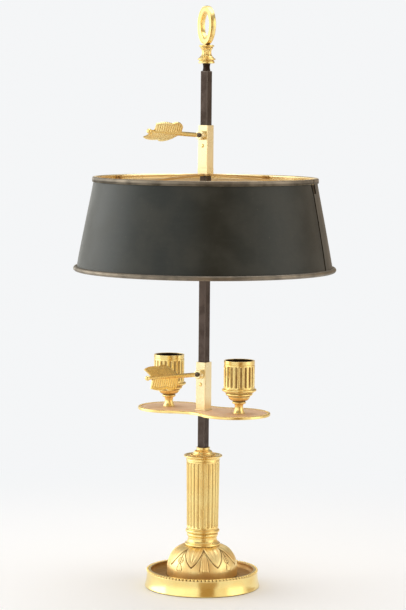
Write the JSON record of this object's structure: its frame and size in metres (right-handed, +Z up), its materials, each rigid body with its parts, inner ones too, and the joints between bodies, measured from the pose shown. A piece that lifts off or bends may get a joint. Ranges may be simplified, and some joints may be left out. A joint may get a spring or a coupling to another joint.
{
  "type": "bouillotte candle lamp",
  "caption": "Table lamp for candles with a fluted gilt column, a square rod, a sliding candle arm and a sliding tin shade, each clamped by an arrow-shaped key.",
  "frame": {"origin": "centre of the foot where it stands on the table", "axes": "+Z up along the rod, +X along the line of the two candle nozzles, the arrow keys point to -Y"},
  "size_m": [0.2706, 0.2706, 0.6002],
  "materials": {
    "gilt_bronze": "burnished gilding, slightly worn",
    "plate_bronze": "matt worn gilding, pinkish",
    "rod_steel": "dark brown patina",
    "screw_steel": "oiled dark steel",
    "tole_paint": "old green-black paint on tin, satin",
    "shade_edge": "worn gilt edge on tin"
  },
  "bodies": {
    "stand": {"foot_dish": "gilt_bronze", "leaf_dome": "gilt_bronze", "column_collar": "gilt_bronze", "fluted_column": "gilt_bronze", "column_cap": "gilt_bronze", "rod_socket": "gilt_bronze", "stem_rod": "rod_steel", "base_washer": "screw_steel", "base_nut": "screw_steel", "finial_baluster": "gilt_bronze", "finial_ring": "gilt_bronze"},
    "candle_arm": {"candle_plate": "plate_bronze", "arm_slide": "gilt_bronze", "arm_spring_leaf": "screw_steel", "arm_spring_rivet": "gilt_bronze", "left_nozzle": "gilt_bronze", "right_nozzle": "gilt_bronze", "nozzle_nuts": "screw_steel"},
    "arm_key": {"arm_key_screw": "screw_steel", "arm_key_arrow": "gilt_bronze"},
    "shade_carrier": {"shade_slide": "gilt_bronze", "shade_spider": "gilt_bronze", "shade_spring_leaf": "screw_steel", "shade_spring_rivet": "gilt_bronze", "shade_front_sheet": "tole_paint", "shade_back_sheet": "tole_paint", "seam_straps": "tole_paint", "shade_top_band": "shade_edge", "shade_bottom_roll": "shade_edge"},
    "shade_key": {"shade_key_screw": "screw_steel", "shade_key_arrow": "gilt_bronze"}
  },
  "joints": [
    {"name": "arm_height", "type": "slide", "parent": "stand", "child": "candle_arm", "axis": [0, 0, 1], "range_m": [-0.036, 0.08]},
    {"name": "arm_key_turn", "type": "hinge", "parent": "candle_arm", "child": "arm_key", "pos_m": [0, -0.0058, 0.22245], "axis": [0, -0.9986, 0.0523], "range_deg": [0, 360]},
    {"name": "shade_height", "type": "slide", "parent": "stand", "child": "shade_carrier", "axis": [0, 0, 1], "range_m": [-0.1, 0.055]},
    {"name": "shade_key_turn", "type": "hinge", "parent": "shade_carrier", "child": "shade_key", "pos_m": [0, -0.0058, 0.4684], "axis": [0, -0.9986, 0.0523], "range_deg": [0, 360]}
  ]
}
